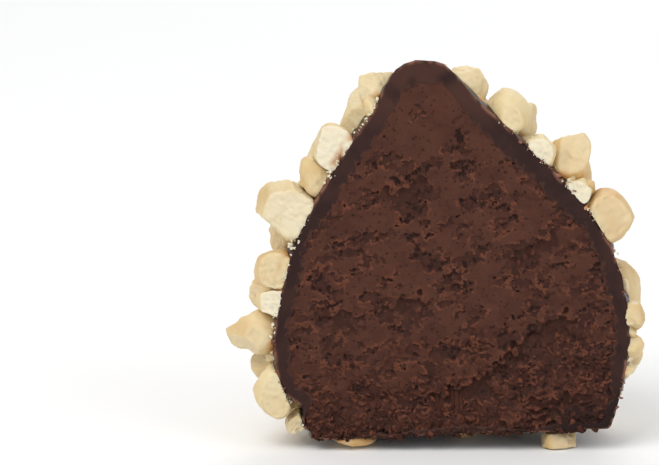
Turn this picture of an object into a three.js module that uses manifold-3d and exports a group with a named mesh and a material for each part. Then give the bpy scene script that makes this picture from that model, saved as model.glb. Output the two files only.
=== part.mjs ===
// A chocolate truffle cut in half: a dark chocolate shell round a ganache filling, rolled in chopped nuts.
// Millimetres, +Z up. The knife's cut is the plane y = 0 of the truffle's own axes and faces -Y,
// and the truffle stands on the nut chips that are pressed into its underside.
import * as THREE from 'three';
import { ConvexGeometry } from 'three/addons/geometries/ConvexGeometry.js';
import { mergeVertices } from 'three/addons/utils/BufferGeometryUtils.js';
import Module from 'manifold-3d';

const wasm = await Module();
wasm.setup();

// ---------------------------------------------------------------- driving sizes
const baseHeight = 1.6; // the shell's underside, above the surface the truffle stands on
const depthShare = 0.98; // how deep the half is behind the cut, as a share of half its width
const gap = 0.3; // clearance between neighbouring solids
const shellAtSides = 1.55; // thickness of the chocolate shell
const shellAtTop = 2.3;
const shellAtBase = 1.0;
const domeRows = 24; // facets up the dome
const domeSegments = 46; // facets once round the whole dome, before it is cut
const scatteredChips = 29; // chips spread over the back, besides those along the cut and underneath
const candidatesPerChip = 160; // places tried for each scattered chip
const bareAbove = 34.5; // no scattered chip sits higher, so the peak is bare chocolate
const largestHalf = 3.7; // half width of the largest scattered chip
const smallestHalf = 2.4;
const showingMost = 3.4; // how far a scattered chip may show past the cut's silhouette
const showingLeast = 0.3; // and how far on the right where the edge is bare
const bareOnRight = [[0, 6.8], [14.6, 22.5]]; // from one height to another
const seatedShare = 0.42; // how high a chip's centre is, as a share of its height off the shell
const pebblePoints = 16; // corners of a chip before it is chopped
const nearestCorner = 1.08; // how far its corners lie out, as shares of its ellipsoid's reach
const furthestCorner = 1.3;

// The dome's silhouette on the cut: [height, left edge, right edge], from the base to the peak.
const silhouette = [
  [baseHeight, -12.7, 14.3],
  [2.3, -13.9, 15.4],
  [3.9, -14.9, 16.1],
  [6.8, -16.3, 16.5],
  [10.2, -17.0, 16.8],
  [13.8, -16.7, 17.0],
  [17.4, -15.9, 16.8],
  [21.4, -14.7, 15.0],
  [25.4, -12.7, 12.2],
  [29.4, -10.3, 8.3],
  [33.2, -7.9, 4.3],
  [36.2, -6.2, 1.3],
  [37.7, -5.5, 0.1],
  [38.6, -4.2, -0.9],
];
const peak = new THREE.Vector3(-2.5, 0, 38.8);
const heart = new THREE.Vector3(0, 0, 15); // the point that the shell's thickness is measured towards

// Chips along the cut: side (-1 left, 1 right), height of the seat, distance behind the cut,
// half length along the edge of the shell, height off the shell, lean along the edge in degrees.
const chipsAlongCut = [
  [1, 35.0, 3.0, 1.9, 3.1, 10],
  [1, 32.6, 1.9, 2.3, 3.4, -15],
  [1, 30.5, 4.4, 2.2, 4.3, -30],
  [1, 29.4, 0.9, 1.7, 2.3, 0],
  [1, 27.3, 2.8, 2.7, 4.7, 12],
  [1, 25.6, 0.8, 1.5, 2.1, 0],
  [1, 22.6, 1.8, 3.0, 3.9, 0],
  [1, 25.2, 6.2, 2.5, 4.2, 20],
  [1, 13.4, 1.5, 1.8, 2.3, 15],
  [1, 10.4, 1.3, 1.4, 2.7, -10],
  [1, 8.0, 1.7, 1.5, 2.4, 20],
  [-1, 35.2, 2.0, 2.0, 2.9, 0],
  [-1, 29.6, 1.1, 2.5, 3.7, 12],
  [-1, 26.7, 1.7, 1.9, 3.3, 0],
  [-1, 23.1, 1.5, 3.0, 5.3, 22],
  [-1, 20.2, 5.0, 2.3, 4.2, 0],
  [-1, 17.7, 1.3, 2.5, 3.3, 10],
  [-1, 14.8, 0.8, 1.6, 2.5, 0],
  [-1, 14.4, 5.0, 2.6, 4.3, 0],
  [-1, 11.3, 2.0, 2.4, 5.1, -20],
  [-1, 8.2, 4.6, 2.2, 3.7, 0],
  [-1, 6.0, 1.5, 3.0, 3.3, 10],
  [-1, 2.9, 1.9, 1.5, 2.2, 0],
];

// Chips pressed into the underside, that the truffle stands on: place across, distance behind the cut, half width.
const chipsUnderneath = [
  [11.4, 2.0, 1.7],
  [-9.4, 2.3, 2.2],
  [2.2, 6.4, 2.4],
  [-6.8, 9.3, 2.1],
  [8.4, 9.4, 2.2],
  [0.6, 12.2, 2.0],
];

// Nut chips differ by chance, but by the same chances at every run.
let chanceState = 20260;
function chance(low = 0, high = 1) {
  chanceState = (chanceState + 0x6d2b79f5) | 0;
  let mixed = Math.imul(chanceState ^ (chanceState >>> 15), 1 | chanceState);
  mixed = (mixed + Math.imul(mixed ^ (mixed >>> 7), 61 | mixed)) ^ mixed;
  return low + (high - low) * (((mixed ^ (mixed >>> 14)) >>> 0) / 4294967296);
}

// ---------------------------------------------------------------- solids
function solidOf(geometry) {
  const bare = geometry.clone();
  bare.deleteAttribute('normal');
  bare.deleteAttribute('uv');
  const merged = mergeVertices(bare, 1e-4);
  return new wasm.Manifold(new wasm.Mesh({
    numProp: 3,
    vertProperties: merged.attributes.position.array,
    triVerts: new Uint32Array(merged.index.array),
  }));
}

function geometryOf(solid) {
  const mesh = solid.getMesh();
  const geometry = new THREE.BufferGeometry();
  geometry.setAttribute('position', new THREE.BufferAttribute(mesh.vertProperties, 3));
  geometry.setIndex(new THREE.BufferAttribute(mesh.triVerts, 1));
  geometry.computeVertexNormals();
  return geometry;
}

// Everything past a plane: a large block whose near face is the plane.
function beyond(point, normal) {
  const size = 200;
  const block = new THREE.BoxGeometry(size, size, size).translate(0, 0, size / 2);
  block.applyQuaternion(new THREE.Quaternion().setFromUnitVectors(new THREE.Vector3(0, 0, 1), normal));
  return solidOf(block.translate(point.x, point.y, point.z));
}

// ---------------------------------------------------------------- the dome
// A smooth curve through the silhouette, as (left edge, right edge, height).
const silhouetteCurve = new THREE.CatmullRomCurve3(
  [...silhouette.map(([z, left, right]) => new THREE.Vector3(left, right, z)),
    new THREE.Vector3(peak.x, peak.x, peak.z)],
  false, 'centripetal');

// A point of the dome: climb runs from 0 at the base to 1 at the peak, turn from 0 at the right
// edge of the cut, through the back, to pi at the left edge. Each level is an ellipse.
function domePoint(climb, turn) {
  const level = silhouetteCurve.getPoint(climb);
  const halfWidth = (level.y - level.x) / 2;
  return new THREE.Vector3(
    (level.y + level.x) / 2 + halfWidth * Math.cos(turn),
    halfWidth * depthShare * Math.sin(turn),
    level.z);
}

function domeNormal(climb, turn) {
  const step = 0.004;
  const up = domePoint(Math.min(climb + step, 1), turn).sub(domePoint(Math.max(climb - step, 0), turn));
  const round = domePoint(climb, turn + step).sub(domePoint(climb, turn - step));
  return round.cross(up).normalize();
}

// The climb at which the dome reaches a height.
function climbAt(height) {
  let low = 0;
  let high = 1;
  for (let step = 0; step < 30; step++) {
    const middle = (low + high) / 2;
    if (silhouetteCurve.getPoint(middle).z < height) low = middle;
    else high = middle;
  }
  return low;
}

// How thick the shell is in a direction from the heart: the sides blend into the top and the base.
function shellThickness(direction) {
  const end = direction.z > 0 ? shellAtTop : shellAtBase;
  return THREE.MathUtils.lerp(shellAtSides, end, THREE.MathUtils.smoothstep(Math.abs(direction.z), 0.6, 1));
}

// The whole dome as a closed solid, before the cut, with its surface drawn in by a number of shells
// and by a clearance.
function domeSolid(shells, clearance) {
  const geometry = new THREE.SphereGeometry(1, domeSegments, domeRows);
  const position = geometry.attributes.position;
  for (let i = 0; i < position.count; i++) {
    const row = Math.floor(i / (domeSegments + 1));
    const turn = (i % (domeSegments + 1)) / domeSegments * 2 * Math.PI;
    // Row 0 is the peak, the last row is the middle of the base and the row above it is the base's edge.
    const climb = 1 - row / (domeRows - 1);
    const point = row === domeRows
      ? new THREE.Vector3((silhouette[0][1] + silhouette[0][2]) / 2, 0, baseHeight)
      : domePoint(Math.max(climb, 0), turn);
    const inward = heart.clone().sub(point);
    const depth = shells * shellThickness(inward.clone().normalize().negate()) + clearance;
    point.addScaledVector(inward.normalize(), depth);
    position.setXYZ(i, point.x, point.y, point.z);
  }
  return solidOf(geometry);
}

const inFrontOfCut = beyond(new THREE.Vector3(0, 0, 0), new THREE.Vector3(0, -1, 0));
const shellSolid = domeSolid(0, 0).subtract(domeSolid(1, 0)).subtract(inFrontOfCut);
const fillingSolid = domeSolid(1, gap).subtract(inFrontOfCut);

// ---------------------------------------------------------------- nut chips
// A chip begins as a pebble of nut, as long along each of its axes as its radii say.
function makeChip(centre, axes, radii) {
  return { centre, axes, radii, reach: Math.max(...radii), sides: [] };
}

// How far a chip's ellipsoid reaches from its centre in a direction.
function reachAlong(chip, direction) {
  return Math.hypot(...chip.axes.map((axis, i) => chip.radii[i] * axis.dot(direction)));
}

// Adds a flat side, at a distance from the chip's centre, if the chip can reach that far.
function addSide(chip, normal, distance) {
  if (distance < reachAlong(chip, normal) * furthestCorner) chip.sides.push({ normal, distance });
}

function addSideAt(chip, normal, point) {
  addSide(chip, normal, point.clone().sub(chip.centre).dot(normal));
}

// The flat sides that chopping leaves, spread round the chip at random.
function chop(chip, count) {
  for (let i = 0; i < count; i++) {
    const turn = (i + chance(-0.3, 0.3)) / count * 2 * Math.PI;
    const rise = chance(-0.2, 0.9);
    const normal = chip.axes[0].clone().multiplyScalar(Math.cos(turn))
      .addScaledVector(chip.axes[1], Math.sin(turn))
      .addScaledVector(chip.axes[2], rise)
      .normalize();
    addSide(chip, normal, reachAlong(chip, normal) * chance(0.7, 0.95));
  }
}

// A chip that sits on the dome. It lies on the shell's tangent plane, a clearance off it,
// turned on its seat by one angle and leaning along its own length by another.
function chipOnDome(climb, turn, { halfLength, halfWidth, height, spin, lean }) {
  const normal = domeNormal(climb, turn);
  const seat = domePoint(climb, turn);
  const round = new THREE.Vector3(-Math.sin(turn), Math.cos(turn), 0).projectOnPlane(normal).normalize();
  const along = normal.clone().cross(round).applyAxisAngle(normal, spin);
  const across = normal.clone().cross(along);
  const top = normal.clone().applyAxisAngle(across, lean);
  along.applyAxisAngle(across, lean);
  const centre = seat.clone().addScaledVector(normal, height * seatedShare);
  const chip = makeChip(centre, [along, across, top], [halfLength, halfWidth, height * (1 - seatedShare)]);
  chip.seat = seat;
  chop(chip, 3 + Math.floor(chance(0, 3)));
  addSideAt(chip, normal.clone().negate(), seat.clone().addScaledVector(normal, gap));
  return chip;
}

function chipUnderneath(across, behind, halfWidth) {
  const centre = new THREE.Vector3(across, behind, (baseHeight - gap) / 2);
  const along = new THREE.Vector3(1, 0, 0).applyAxisAngle(new THREE.Vector3(0, 0, 1), chance(0, Math.PI));
  const up = new THREE.Vector3(0, 0, 1);
  const chip = makeChip(centre, [along, up.clone().cross(along), up], [halfWidth * 1.2, halfWidth, 1.5]);
  chip.seat = centre.clone().setZ(baseHeight);
  chop(chip, 4);
  addSideAt(chip, up, new THREE.Vector3(0, 0, baseHeight - gap));
  return chip;
}

// Whether a chip of some height would show past the silhouette by no more than it may.
function staysIn(climb, turn, height) {
  const edges = silhouetteCurve.getPoint(climb);
  const outer = domePoint(climb, turn).addScaledVector(domeNormal(climb, turn), height);
  const isBare = bareOnRight.some(([low, high]) => edges.z > low && edges.z < high);
  return edges.x - outer.x < showingMost && outer.x - edges.y < (isBare ? showingLeast : showingMost);
}

// Each scattered chip takes, of a number of random places, the one furthest from the chips already there.
function scatterChip(chips, half) {
  let best = null;
  for (let i = 0; i < candidatesPerChip; i++) {
    const climb = chance(0.13, 0.93);
    const turn = chance(0.06, 0.94) * Math.PI;
    const seat = domePoint(climb, turn);
    if (seat.y < half || seat.z > bareAbove || !staysIn(climb, turn, half * 1.25)) continue;
    const room = Math.min(...chips.map((chip) => chip.seat.distanceTo(seat) - chip.reach));
    if (!best || room > best.room) best = { climb, turn, room };
  }
  return chipOnDome(best.climb, best.turn, {
    halfLength: half * chance(1.05, 1.45),
    halfWidth: half * chance(0.9, 1.1),
    height: half * chance(1.05, 1.45),
    spin: chance(0, Math.PI),
    lean: chance(-0.3, 0.3),
  });
}

// Two chips that would meet are both given a flat side, half way between them.
function keepApart(one, other) {
  const between = other.centre.clone().sub(one.centre);
  const distance = between.length();
  const normal = between.normalize();
  const reachOne = reachAlong(one, normal);
  const reachOther = reachAlong(other, normal);
  if ((reachOne + reachOther) * furthestCorner + gap < distance) return;
  const meeting = distance * reachOne / (reachOne + reachOther);
  addSide(one, normal, meeting - gap / 2);
  addSide(other, normal.clone().negate(), distance - meeting - gap / 2);
}

// The pebble's corners are spread round the ellipsoid on a spiral, each a little out of place.
function chipSolid(chip) {
  const goldenTurn = Math.PI * (3 - Math.sqrt(5));
  const corners = Array.from({ length: pebblePoints }, (_, i) => {
    const rise = 1 - 2 * (i + 0.5) / pebblePoints;
    const ring = Math.sqrt(1 - rise * rise);
    const corner = new THREE.Vector3(ring * Math.cos(i * goldenTurn), ring * Math.sin(i * goldenTurn), rise);
    const shift = new THREE.Vector3(chance(-1, 1), chance(-1, 1), chance(-1, 1));
    corner.addScaledVector(shift, 0.2).normalize();
    return corner.multiplyScalar(chance(nearestCorner, furthestCorner));
  });
  const place = new THREE.Matrix4().makeBasis(...chip.axes).scale(new THREE.Vector3(...chip.radii));
  const pebble = solidOf(new ConvexGeometry(corners).applyMatrix4(place.setPosition(chip.centre)));
  return chip.sides.reduce((solid, side) => {
    const point = chip.centre.clone().addScaledVector(side.normal, side.distance);
    return solid.subtract(beyond(point, side.normal));
  }, pebble);
}

function chipList() {
  const chips = chipsAlongCut.map(([side, seatHeight, behind, halfLength, height, lean]) => {
    const climb = climbAt(seatHeight);
    const level = silhouetteCurve.getPoint(climb);
    const depth = (level.y - level.x) / 2 * depthShare;
    const turn = Math.asin(Math.min(behind / depth, 1));
    return chipOnDome(climb, side > 0 ? turn : Math.PI - turn, {
      halfLength,
      halfWidth: halfLength * chance(0.85, 1.1),
      height,
      spin: chance(-0.3, 0.3),
      lean: THREE.MathUtils.degToRad(lean),
    });
  });
  for (let i = 0; i < scatteredChips; i++) {
    chips.push(scatterChip(chips, THREE.MathUtils.lerp(largestHalf, smallestHalf, i / scatteredChips)));
  }
  chips.push(...chipsUnderneath.map((place) => chipUnderneath(...place)));
  chips.forEach((one, i) => chips.slice(i + 1).forEach((other) => keepApart(one, other)));
  for (const chip of chips) {
    addSideAt(chip, new THREE.Vector3(0, -1, 0), new THREE.Vector3(0, 0, 0)); // the knife's cut
    addSideAt(chip, new THREE.Vector3(0, 0, -1), new THREE.Vector3(0, 0, 0)); // the surface it stands on
  }
  return chips;
}

// ---------------------------------------------------------------- the truffle
const shellFinish = new THREE.MeshStandardMaterial({ color: 0x33211e, roughness: 0.3 });
const fillingFinish = new THREE.MeshStandardMaterial({ color: 0x54362d, roughness: 0.85 });
const nutFinish = new THREE.MeshStandardMaterial({ color: 0xe8d3a4, roughness: 0.55 });

const truffle = new THREE.Group();

function addPiece(name, solid, finish) {
  const mesh = new THREE.Mesh(geometryOf(solid), finish);
  mesh.name = name;
  truffle.add(mesh);
}

addPiece('chocolate_shell', shellSolid, shellFinish);
addPiece('ganache_filling', fillingSolid, fillingFinish);
chipList().forEach((chip, i) => addPiece(`nut_${String(i + 1).padStart(2, '0')}`, chipSolid(chip), nutFinish));

// The origin is the middle of the truffle's box, on the surface it stands on.
const box = new THREE.Box3().setFromObject(truffle);
truffle.position.set(-(box.min.x + box.max.x) / 2, -(box.min.y + box.max.y) / 2, -box.min.z);

export default truffle;
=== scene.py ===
import math

import bpy
import numpy as np
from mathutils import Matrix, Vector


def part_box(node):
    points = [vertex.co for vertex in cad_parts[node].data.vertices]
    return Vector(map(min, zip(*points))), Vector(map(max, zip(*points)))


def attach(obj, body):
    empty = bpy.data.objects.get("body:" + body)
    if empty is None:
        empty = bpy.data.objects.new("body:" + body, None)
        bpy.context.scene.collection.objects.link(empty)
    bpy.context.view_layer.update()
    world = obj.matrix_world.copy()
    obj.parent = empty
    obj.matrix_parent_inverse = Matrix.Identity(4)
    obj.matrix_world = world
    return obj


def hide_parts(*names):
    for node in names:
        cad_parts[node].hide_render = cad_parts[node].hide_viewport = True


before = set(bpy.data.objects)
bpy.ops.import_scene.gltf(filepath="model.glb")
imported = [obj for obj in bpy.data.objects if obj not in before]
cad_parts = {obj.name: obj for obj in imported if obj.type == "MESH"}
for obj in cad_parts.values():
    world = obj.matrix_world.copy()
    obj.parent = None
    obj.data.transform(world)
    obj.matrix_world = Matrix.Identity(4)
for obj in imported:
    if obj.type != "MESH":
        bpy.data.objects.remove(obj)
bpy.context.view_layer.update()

mm = 0.001
fullTurn = 2 * math.pi


def smooth(low, high, value):  # 0 below low, 1 above high, an S-curve between
    share = np.clip((value - low) / (high - low), 0, 1)
    return share * share * (3 - 2 * share)


def blend(one, other, share):  # from one to the other, by a share of the way
    return one + (other - one) * share


def unit(vectors):  # each divided by its own length
    return vectors / np.linalg.norm(vectors, axis=-1, keepdims=True)


def waves(spots, length, seed, count=26):
    # sum of plane waves in random directions, each near one wavelength, over the root of half their
    # number: mostly within -2 to 2
    draw = np.random.default_rng(seed)
    heading = unit(draw.normal(size=(count, spots.shape[-1])))
    pace = fullTurn / (length * draw.uniform(0.7, 1.45, count))
    start = draw.uniform(0, fullTurn, count)
    total = np.zeros(spots.shape[:-1])
    for h, p, s in zip(heading, pace, start):
        total += np.cos(spots @ (h * p) + s)
    return total / math.sqrt(count / 2)


def makePiece(name, spots, faceSets, looks, materials, nodes=(), finishes=None):
    # spots in millimetres; each face set is an array of faces with the same number of corners;
    # finishes says which of the materials each face has
    mesh = bpy.data.meshes.new(name)
    corners = np.concatenate([faces.ravel() for faces in faceSets])
    counts = np.concatenate([np.full(len(faces), faces.shape[1]) for faces in faceSets])
    mesh.vertices.add(len(spots))
    mesh.vertices.foreach_set("co", (spots * mm).ravel())
    mesh.loops.add(len(corners))
    mesh.loops.foreach_set("vertex_index", corners.astype(np.int32))
    mesh.polygons.add(len(counts))
    mesh.polygons.foreach_set("loop_start", (np.cumsum(counts) - counts).astype(np.int32))
    for material in materials:
        mesh.materials.append(material)
    if finishes is not None:
        mesh.polygons.foreach_set("material_index", finishes.astype(np.int32))
    mesh.update(calc_edges=True)
    mesh.validate()
    mesh.shade_smooth()
    for look, values in looks.items():
        layer = mesh.attributes.new(look, "FLOAT", "POINT")
        layer.data.foreach_set("value", np.ascontiguousarray(values, dtype=np.float32))
    piece = bpy.data.objects.new(name, mesh)
    bpy.context.scene.collection.objects.link(piece)
    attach(piece, "root")
    if nodes:
        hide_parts(*nodes)
    return piece


def gridFaces(rows, columns, closed=False):
    # quads of a grid of vertices numbered row by row; closed joins the last column to the first
    row, column = np.mgrid[0:rows - 1, 0:columns if closed else columns - 1]
    following = (column + 1) % columns
    quads = np.stack([row * columns + column, (row + 1) * columns + column,
                      (row + 1) * columns + following, row * columns + following], -1)
    return quads.reshape(-1, 4)


def cubeSphere(across):
    # unit sphere from six square grids, their shared edges merged: directions and quads
    steps = np.tan(np.linspace(-math.pi / 4, math.pi / 4, across + 1))
    a, b = np.meshgrid(steps, steps, indexing="ij")
    sides = []
    for axis in range(3):
        for sign in (1, -1):
            side = np.empty(a.shape + (3,))
            side[..., axis] = sign
            side[..., (axis + 1) % 3] = a * sign
            side[..., (axis + 2) % 3] = b
            sides.append(side.reshape(-1, 3))
    every = unit(np.concatenate(sides))
    quads = np.concatenate([gridFaces(across + 1, across + 1) + i * (across + 1) ** 2 for i in range(6)])
    _, first, back = np.unique(np.round(every, 6), axis=0, return_index=True, return_inverse=True)
    quads = back.ravel()[quads]
    directions = every[first]
    middle = directions[quads].mean(1)
    tilt = np.cross(directions[quads[:, 1]] - directions[quads[:, 0]],
                    directions[quads[:, 2]] - directions[quads[:, 0]])
    wrong = (tilt * middle).sum(1) < 0
    quads[wrong] = quads[wrong][:, ::-1]
    return directions, quads


def nodeCorners(node):  # the corners of a CAD node's triangles, in millimetres
    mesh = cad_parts[node].data
    mesh.calc_loop_triangles()
    spots = np.empty(len(mesh.vertices) * 3)
    mesh.vertices.foreach_get("co", spots)
    index = np.empty(len(mesh.loop_triangles) * 3, dtype=np.int32)
    mesh.loop_triangles.foreach_get("vertices", index)
    return spots.reshape(-1, 3)[index].reshape(-1, 3, 3) / mm


shellLow, shellHigh = (np.array(corner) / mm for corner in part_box("chocolate_shell"))
cutY = shellLow[1]  # the knife's plane
baseZ = shellLow[2]  # the shell's underside
peakZ = shellHigh[2]
heart = np.array([(shellLow[0] + shellHigh[0]) / 2, cutY, 15.0])  # the shell is measured out from here
depthShare = (shellHigh[1] - cutY) / ((shellHigh[0] - shellLow[0]) / 2)
partX = heart[0]  # places on the cut are measured across from here


def cutLoop(node):  # angle and distance from the heart of a node's corners on the cut
    spots = nodeCorners(node).reshape(-1, 3)
    flat = spots[np.abs(spots[:, 1] - cutY) < 0.01] - heart
    return np.arctan2(flat[:, 2], flat[:, 0]), np.hypot(flat[:, 0], flat[:, 2])


def roundInterp(turn, turns, values):  # linear between turns, and on round the circle
    order = np.argsort(turns)
    return np.interp(turn, turns[order], values[order], period=fullTurn)


fillingTurns, fillingReach = cutLoop("ganache_filling")
shellTurns, shellReach = cutLoop("chocolate_shell")
isOuter = shellReach > roundInterp(shellTurns, fillingTurns, fillingReach) + 0.8
outerTurns, outerReach = shellTurns[isOuter], shellReach[isOuter]

outerX = heart[0] + outerReach * np.cos(outerTurns)
outerZ = heart[2] + outerReach * np.sin(outerTurns)
topX = outerX[outerZ > peakZ - 0.02].mean()


def middleAt(z, top):  # what parts left from right: the heart low down, leaning to the top higher up
    return blend(heart[0], top, smooth(20, 36, z))


sideOrder = np.argsort(outerZ)
isLeft = (outerX < middleAt(outerZ, topX)) & (outerZ > baseZ + 0.01)
isRight = ~isLeft & (outerZ > baseZ + 0.01)
leftOrder = sideOrder[isLeft[sideOrder]]
rightOrder = sideOrder[isRight[sideOrder]]
print("frame read: cut at", round(cutY, 3), "outline corners", isOuter.sum(), "peak", round(topX, 2))

domeLook = dict(
    dropLeft=0.45, riseRight=0.75,  # the underside isn't level: off the CAD base, at its ends
    drawnIn=0.9, drawnInAt=4.4, drawnInOver=1.2,  # of the corner at the lower left, and its height
    fullness=0.4, fullBelow=(16, 11),  # of the lower right
)


def baseAt(x):  # height of the underside
    share = np.clip((x - shellLow[0]) / (shellHigh[0] - shellLow[0]), 0, 1)
    return baseZ + blend(-domeLook["dropLeft"], domeLook["riseRight"], share)


def insideDome(spots):
    # each level of the dome is an ellipse between its left and right edge on the cut: inside it, the
    # squares of the shares of its half width and half depth add up to less than one
    look = domeLook
    z = spots[..., 2]
    left = np.interp(z, outerZ[leftOrder], outerX[leftOrder])
    right = np.interp(z, outerZ[rightOrder], outerX[rightOrder])
    left = left + look["drawnIn"] * np.exp(-((z - look["drawnInAt"]) / look["drawnInOver"]) ** 2)
    right = right + look["fullness"] * smooth(*look["fullBelow"], z)
    half = (right - left) / 2
    across = (spots[..., 0] - (left + right) / 2) / half
    behind = (spots[..., 1] - cutY) / (half * depthShare)
    level = (z > baseAt(spots[..., 0])) & (z < peakZ)
    return level & (across ** 2 + behind ** 2 < 1)


def domeReach(heading, farthest=45.0, halvings=24):  # how far the dome is from the heart, by halving
    low = np.zeros(heading.shape[:-1])
    high = np.full(heading.shape[:-1], farthest)
    for _ in range(halvings):
        middle = (low + high) / 2
        inside = insideDome(heart + heading * middle[..., None])
        low = np.where(inside, middle, low)
        high = np.where(inside, high, middle)
    return low


def onDome(heading):  # the dome's spot in each heading
    return heart + heading * domeReach(heading)[..., None]


def headings(turn, lift):  # turn goes round the cut, lift goes back from it
    return np.stack([np.cos(turn) * np.cos(lift), np.sin(lift) + 0 * turn, np.sin(turn) * np.cos(lift)], -1)


def cutEdge(turn):  # round the dome's edge on the cut: the ways out, how far it is, and the spots
    edge = headings(turn, 0.0)
    reach = domeReach(edge)
    return edge, reach, heart + edge * reach[:, None]


def newMaterial(name):
    material = bpy.data.materials.new(name)
    material.use_nodes = True
    return material, material.node_tree, material.node_tree.nodes["Principled BSDF"]


def feed(tree, socket, value):  # a value or another node's output into a socket
    if isinstance(value, bpy.types.NodeSocket):
        tree.links.new(value, socket)
    else:
        socket.default_value = value


def plug(tree, node, **sockets):  # sockets by name, in small letters without spaces
    for key, value in sockets.items():
        named = [s for s in node.inputs if s.name.replace(" ", "").lower() == key and s.enabled]
        feed(tree, named[0], value)


def add(tree, kind, settings=None, **sockets):
    node = tree.nodes.new("ShaderNode" + kind)
    for key, value in (settings or {}).items():
        setattr(node, key, value)
    plug(tree, node, **sockets)
    return node


def place(tree):
    return tree.nodes.new("ShaderNodeTexCoord").outputs["Object"]


def attribute(tree, name):
    return add(tree, "Attribute", dict(attribute_name=name)).outputs["Fac"]


def noise(tree, size, detail=3.0, roughness=0.5):  # size in millimetres
    texture = add(tree, "TexNoise", vector=place(tree), scale=1 / (size * mm), detail=detail,
                  roughness=roughness)
    return texture.outputs["Fac"]


def ramp(tree, value, low, high, atLow=0.0, atHigh=1.0):
    node = add(tree, "MapRange", dict(interpolation_type="SMOOTHSTEP"), value=value, frommin=low,
               frommax=high, tomin=atLow, tomax=atHigh)
    return node.outputs["Result"]


def mix(tree, share, one, other):  # of two colours
    node = add(tree, "Mix", dict(data_type="RGBA"), factor=share, a=one, b=other)
    return next(s for s in node.outputs if s.enabled)


def joined(tree, operation, one, other):  # of two numbers
    node = add(tree, "Math", dict(operation=operation))
    feed(tree, node.inputs[0], one)
    feed(tree, node.inputs[1], other)
    return node.outputs[0]


def paint(red, green, blue):  # a screen colour, 0 to 255, as scene light
    screen = np.array([red, green, blue]) / 255
    light = np.where(screen < 0.04045, screen / 12.92, ((screen + 0.055) / 1.055) ** 2.4)
    return (*light, 1.0)


def dress(tree, shader, colour, roughSize, roughness, specular, grain, depth):
    # colour, a roughness that wanders between two values, and a bump that follows grain; millimetres
    wandering = ramp(tree, noise(tree, roughSize), 0.3, 0.7, *roughness)
    plug(tree, shader, basecolor=colour, roughness=wandering)
    shader.inputs["Specular IOR Level"].default_value = specular
    relief = add(tree, "Bump", distance=depth * mm, height=grain)
    tree.links.new(relief.outputs["Normal"], shader.inputs["Normal"])


def stained(tree, colour, *colourLayers):  # one colour after another, each where its attribute says
    for name, stain in colourLayers:
        colour = mix(tree, attribute(tree, name), colour, stain)
    return colour


def coatMaterial():  # the outside of the shell: dark and glossy, as tempered chocolate dries
    material, tree, shader = newMaterial("darkChocolateCoat")
    colour = mix(tree, ramp(tree, noise(tree, 4), 0.35, 0.7), paint(40, 26, 24), paint(55, 36, 31))
    colour = stained(tree, colour, ("rim", paint(146, 102, 84)))
    shader.inputs["IOR"].default_value = 1.46
    dress(tree, shader, colour, 1.6, (0.16, 0.32), 0.45, noise(tree, 1.6), 0.02)
    return material


def cutShellMaterial():
    # where the knife went through the shell: matt and smooth, browner at the top and where the
    # filling was smeared over it, almost black in its thick corner, with a pale broken outer line
    material, tree, shader = newMaterial("cutChocolate")
    colour = mix(tree, ramp(tree, noise(tree, 2.4, 5), 0.34, 0.68), paint(46, 29, 27), paint(57, 36, 32))
    colour = stained(tree, colour, ("smear", paint(69, 44, 37)), ("thick", paint(35, 23, 21)))
    scratch = ramp(tree, noise(tree, 0.4, 4, 0.7), 0.62, 0.74, 0.0, 0.35)
    colour = mix(tree, scratch, colour, paint(38, 26, 25))
    colour = stained(tree, colour, ("rim", paint(146, 102, 84)))
    dress(tree, shader, colour, 1.0, (0.5, 0.68), 0.12, noise(tree, 0.4, 4, 0.6), 0.02)
    return material


def pores(tree, size, reach):  # small round dots, one for each cell of a loose 3-D lattice
    texture = add(tree, "TexVoronoi", vector=place(tree), scale=1 / (size * mm))
    return ramp(tree, texture.outputs["Distance"], reach, reach - 0.06)


def ganacheMaterial():
    # matt brown, with dots of painted shade for pores; the torn lower level is darker and redder, its
    # deepest hollows darker still with painted shadow, and the edges drawn up by the knife are red, lit
    # with a painted highlight as are crumb tops
    material, tree, shader = newMaterial("ganache")
    patches = ramp(tree, noise(tree, 2.6, 5, 0.6), 0.36, 0.64)
    colour = mix(tree, patches, paint(72, 43, 34), paint(82, 50, 39))
    grain = ramp(tree, noise(tree, 0.3, 4, 0.65), 0.45, 0.65, 0.0, 0.3)
    colour = mix(tree, grain, colour, paint(60, 36, 30))
    # painted shade: dark dots for pores, which the mesh has no holes for
    colour = mix(tree, joined(tree, "MULTIPLY", pores(tree, 0.62, 0.22), 0.75), colour, paint(50, 30, 26))
    # torn: the red of torn filling, with a painted highlight on lips and crumb tops
    colour = stained(tree, colour, ("crumbly", paint(59, 33, 27)), ("torn", paint(112, 66, 48)))
    # inside and deep are millimetres within those levels: their edges are frayed here, finer than the mesh
    fray = ramp(tree, noise(tree, 0.3, 3, 0.6), 0.3, 0.7, -0.05, 0.05)
    inside = joined(tree, "ADD", attribute(tree, "inside"), fray)
    deep = joined(tree, "ADD", attribute(tree, "deep"), fray)
    patches = ramp(tree, noise(tree, 0.9, 4, 0.6), 0.4, 0.62)
    lower = mix(tree, patches, paint(58, 34, 28), paint(69, 41, 33))
    # the lower level: the torn filling's own colour, also painted as shade in the gaps between crumbs and
    # below the folds
    colour = mix(tree, ramp(tree, inside, -0.01, 0.03), colour, lower)
    # deep: the darkest brown, painted shadow in the upper parts of hollows and in the gaps between crumbs;
    # also the almost black corner
    colour = mix(tree, ramp(tree, deep, -0.01, 0.06, 0.0, 0.85), colour, paint(41, 25, 22))
    dress(tree, shader, colour, 0.8, (0.66, 0.86), 0.12, noise(tree, 0.2, 4, 0.6), 0.016)
    return material


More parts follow.
